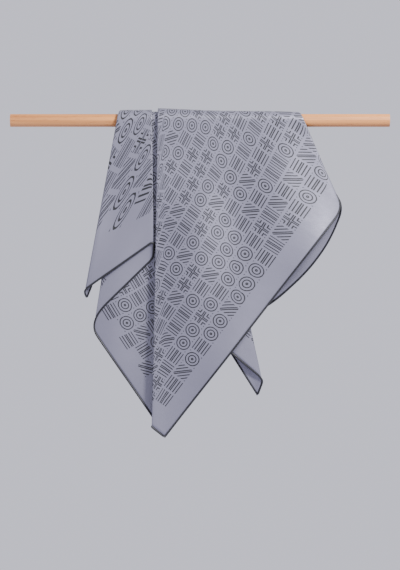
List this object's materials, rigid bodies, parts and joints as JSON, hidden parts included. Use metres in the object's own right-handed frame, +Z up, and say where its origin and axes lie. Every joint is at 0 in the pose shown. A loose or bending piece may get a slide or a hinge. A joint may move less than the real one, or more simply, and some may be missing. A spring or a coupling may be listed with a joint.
{
  "type": "silk scarf on a wooden rod",
  "caption": "Square printed silk scarf with a dark rolled hem, draped cornerwise over a plain round wooden rod in layered folds.",
  "frame": {"origin": "on the rod's axis at the middle of its length, where the rod is held up", "axes": "+X along the rod to the right as seen from the front, +Z up, and the scarf's front faces -Y"},
  "size_m": [0.59, 0.0602, 0.5101],
  "materials": {
    "printed_silk": "satin",
    "dark_hem": "satin",
    "pale_wood": "satin"
  },
  "bodies": {
    "root": {"silk_square": "printed_silk", "wooden_rod": "pale_wood"}
  },
  "joints": []
}
